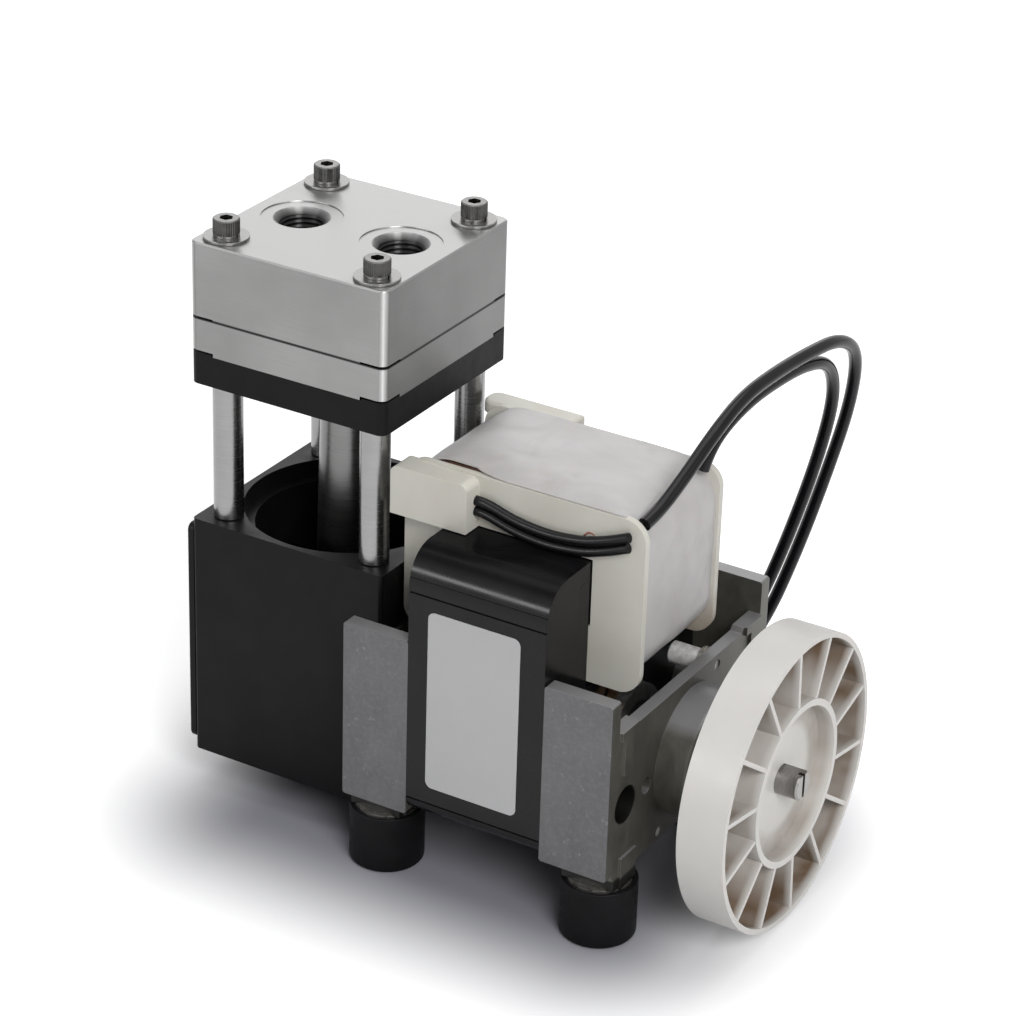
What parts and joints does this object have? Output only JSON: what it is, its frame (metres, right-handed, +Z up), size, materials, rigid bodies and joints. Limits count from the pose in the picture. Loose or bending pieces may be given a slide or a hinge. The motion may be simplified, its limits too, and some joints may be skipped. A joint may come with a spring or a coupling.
{
  "type": "diaphragm vacuum pump",
  "caption": "Diaphragm vacuum pump: a shaded-pole motor turns an eccentric that lifts a rod and diaphragm under a valve head with threaded ports, with a fan on the far end and rubber feet.",
  "frame": {"origin": "centre of the four feet's screw holes, on the floor", "axes": "+Z up along the ports, +X along the shaft towards the fan, -Y towards the motor's sticker"},
  "size_m": [0.1701, 0.1363, 0.1658],
  "materials": {
    "brushed_head": "fine brushed, satin",
    "black_alloy": "black anodised, satin",
    "seal_rubber": "matte",
    "spring_steel": "ground",
    "machined_steel": "turned, satin",
    "dark_steel": "blackened, semi-gloss",
    "washer_steel": "stamped, satin",
    "rod_alloy": "turned, satin",
    "charcoal_iron": "satin enamel over laminations",
    "copper": "bare copper",
    "enamelled_copper": "enamelled wire",
    "bobbin_nylon": "moulded, matte",
    "coil_tape": "adhesive tape, matte",
    "black_sleeving": "braided sleeve, matte",
    "cast_alloy": "as cast, speckled satin",
    "bearing_steel": "ground",
    "zinc_steel": "zinc plated",
    "label_vinyl": "bare sticker, satin",
    "foot_rubber": "matte",
    "lead_sheath": "black silicone sheath, gloss",
    "shaft_steel": "turned, satin",
    "rotor_iron": "turned laminations",
    "rotor_alloy": "die cast",
    "fan_nylon": "moulded, satin"
  },
  "bodies": {
    "root": {"head_cover": "brushed_head", "plenum_seals": "seal_rubber", "valve_plate": "brushed_head", "inlet_valve_pin": "spring_steel", "outlet_valve_pin": "spring_steel", "diaphragm": "seal_rubber", "clamp_ring": "black_alloy", "head_screws": "dark_steel", "head_lock_washers": "dark_steel", "head_washers": "washer_steel", "standoff_posts": "machined_steel", "crankcase": "black_alloy", "crankcase_cover": "black_alloy", "cover_screws": "dark_steel", "crankcase_screws": "dark_steel", "stator_frame": "charcoal_iron", "core_bar": "charcoal_iron", "shading_rings": "copper", "bobbin": "bobbin_nylon", "coil_winding": "enamelled_copper", "coil_wrap": "coil_tape", "fuse_sleeve": "black_sleeving", "pump_side_bracket": "cast_alloy", "fan_side_bracket": "cast_alloy", "bearing_outer_rings": "bearing_steel", "bearing_retainers": "zinc_steel", "retainer_screws": "zinc_steel", "through_bolts": "zinc_steel", "through_bolt_nuts": "zinc_steel", "label_plate": "label_vinyl", "feet": "foot_rubber", "foot_studs": "zinc_steel", "foot_inserts": "zinc_steel", "lead_a": "lead_sheath", "lead_b": "lead_sheath"},
    "rotor": {"motor_shaft": "shaft_steel", "rotor_core": "rotor_iron", "rotor_end_rings": "rotor_alloy", "bearing_inner_rings": "bearing_steel", "eccentric": "machined_steel", "eccentric_screw": "dark_steel", "rod_bearing_inner": "bearing_steel", "crank_washer": "zinc_steel", "crank_screw": "dark_steel", "fan": "fan_nylon"},
    "rod": {"connecting_rod": "rod_alloy", "rod_bearing_outer": "bearing_steel", "diaphragm_clamp_disc": "machined_steel", "diaphragm_screw": "dark_steel"},
    "inlet_valve": {"inlet_valve_disc": "spring_steel"},
    "outlet_valve": {"outlet_valve_disc": "spring_steel"}
  },
  "joints": [
    {"name": "shaft_spin", "type": "hinge", "parent": "root", "child": "rotor", "pos_m": [0, 0, 0.041], "axis": [1, 0, 0], "continuous": true},
    {"name": "rod_pivot", "type": "hinge", "parent": "rotor", "child": "rod", "pos_m": [-0.0654, 0, 0.0435], "axis": [1, 0, 0], "continuous": true, "deforming": ["diaphragm"]},
    {"name": "inlet_valve_lift", "type": "slide", "parent": "root", "child": "inlet_valve", "axis": [0, 0, -1], "range_m": [0, 0.0007]},
    {"name": "outlet_valve_lift", "type": "slide", "parent": "root", "child": "outlet_valve", "axis": [0, 0, 1], "range_m": [0, 0.0007]}
  ],
  "couplings": [
    {"joint": "rod_pivot", "follows": "shaft_spin", "ratio": -1}
  ]
}
